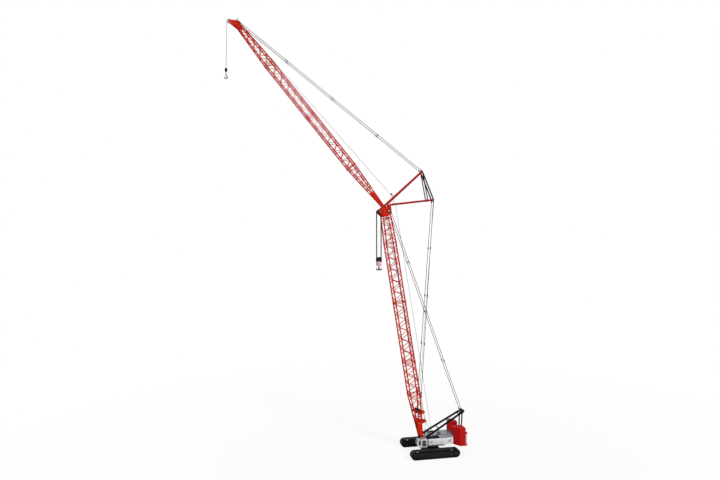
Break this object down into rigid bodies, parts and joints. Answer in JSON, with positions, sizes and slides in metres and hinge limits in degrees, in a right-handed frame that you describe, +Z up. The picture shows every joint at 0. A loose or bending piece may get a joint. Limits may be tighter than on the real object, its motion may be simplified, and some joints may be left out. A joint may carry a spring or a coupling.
{
  "type": "crawler crane, 1:10 scale model",
  "caption": "Scale model of a crawler crane with a lattice boom, luffing jib, live mast and hooks; it swings, and the boom and jib luff.",
  "frame": {"origin": "on the ground, on the axis about which the upperworks swing, midway between the tracks", "axes": "+X forward along the tracks, the way the boom leans; +Y the crane's left, the cab's side; +Z up"},
  "size_m": [4.4481, 0.766, 7.8556],
  "materials": {
    "red_boom": "gloss red enamel",
    "red_counterweight": "gloss red enamel on plate",
    "red_strut": "gloss red enamel",
    "white_house": "gloss white enamel",
    "grey_hood": "satin blue-grey enamel",
    "light_cab": "gloss light grey enamel",
    "black_frame": "satin black enamel",
    "black_mast": "satin black enamel",
    "track_steel": "worn dark steel",
    "winch_steel": "dark oiled steel",
    "sheave_steel": "dark steel",
    "pale_sheave": "pale grey paint",
    "rope_steel": "bright wire rope",
    "pendant_steel": "galvanised stay rod",
    "engine_iron": "painted casting",
    "grating": "galvanised grating",
    "glass": "tinted glass",
    "seat_cloth": "dark vinyl",
    "console_plastic": "moulded plastic",
    "block_black": "satin black enamel",
    "hook_steel": "forged steel"
  },
  "bodies": {
    "undercarriage": {"carbody": "black_frame", "crawler_frame_left": "black_frame", "crawler_frame_right": "black_frame", "track_left": "track_steel", "track_right": "track_steel", "sprockets": "track_steel", "idlers": "track_steel", "track_rollers": "track_steel", "swing_bearing": "winch_steel"},
    "upperworks": {"revolving_frame": "black_frame", "house_left": "white_house", "house_right": "white_house", "engine_hood": "grey_hood", "engine_block": "engine_iron", "catwalks": "grating", "cab_shell": "light_cab", "cab_glass": "glass", "operator_seat": "seat_cloth", "control_console": "console_plastic", "hoist_winches": "winch_steel", "boom_hoist_winch": "winch_steel", "counterweight_tray": "red_counterweight", "counterweight_stack_left": "red_counterweight", "counterweight_stack_right": "red_counterweight", "retaining_posts": "red_counterweight", "boom_hoist_bail": "black_mast"},
    "cab_door": {"cab_door": "light_cab", "cab_door_glass": "glass"},
    "live_mast": {"live_mast": "black_mast", "mast_sheaves": "sheave_steel"},
    "boom": {"boom_butt": "red_boom", "boom_insert_lower": "red_boom", "boom_insert_middle": "red_boom", "boom_insert_upper": "red_boom", "boom_tip": "red_boom", "boom_head_sheaves": "sheave_steel", "jib_luffing_winch": "winch_steel", "rear_strut": "red_strut", "backstay_pendants": "pendant_steel", "boom_pendants": "pendant_steel"},
    "jib": {"jib_butt": "red_boom", "jib_insert_lower": "red_boom", "jib_insert_upper": "red_boom", "jib_tip": "red_boom", "jib_tip_sheaves": "pale_sheave", "front_strut": "red_strut", "jib_pendants": "pendant_steel"},
    "main_block": {"main_hoist_falls": "rope_steel", "main_hook_block": "block_black"},
    "main_hook": {"main_hook": "hook_steel"},
    "jib_hook": {"jib_hoist_fall": "rope_steel", "jib_hook_ball": "block_black", "jib_hook": "hook_steel"}
  },
  "joints": [
    {"name": "swing", "type": "hinge", "parent": "undercarriage", "child": "upperworks", "pos_m": [0, 0, 0.141], "axis": [0, 0, 1], "continuous": true},
    {"name": "cab_door_hinge", "type": "hinge", "parent": "upperworks", "child": "cab_door", "pos_m": [0.122, 0.229, 0.2285], "axis": [0, 0, 1], "range_deg": [0, 95]},
    {"name": "boom_luff", "type": "hinge", "parent": "upperworks", "child": "boom", "pos_m": [0.162, 0, 0.258], "axis": [0, 1, 0], "range_deg": [-5, 16]},
    {"name": "mast_luff", "type": "hinge", "parent": "upperworks", "child": "live_mast", "pos_m": [0.162, 0, 0.258], "axis": [0, 1, 0], "range_deg": [-5, 16]},
    {"name": "jib_luff", "type": "hinge", "parent": "boom", "child": "jib", "pos_m": [0.86008, 0, 4.51519], "axis": [0, 1, 0], "range_deg": [-20, 35]},
    {"name": "main_block_swing", "type": "hinge", "parent": "boom", "child": "main_block", "pos_m": [0.9462, 0, 4.42652], "axis": [0, 1, 0], "range_deg": [-25, 6]},
    {"name": "main_hook_swivel", "type": "hinge", "parent": "main_block", "child": "main_hook", "pos_m": [0.9462, 0, 3.42], "axis": [0, 0, 1], "continuous": true},
    {"name": "jib_hook_swing", "type": "hinge", "parent": "jib", "child": "jib_hook", "pos_m": [3.69097, 0, 7.78989], "axis": [0, 1, 0], "range_deg": [-55, 30]}
  ],
  "couplings": [
    {"joint": "mast_luff", "follows": "boom_luff", "ratio": 1}
  ]
}
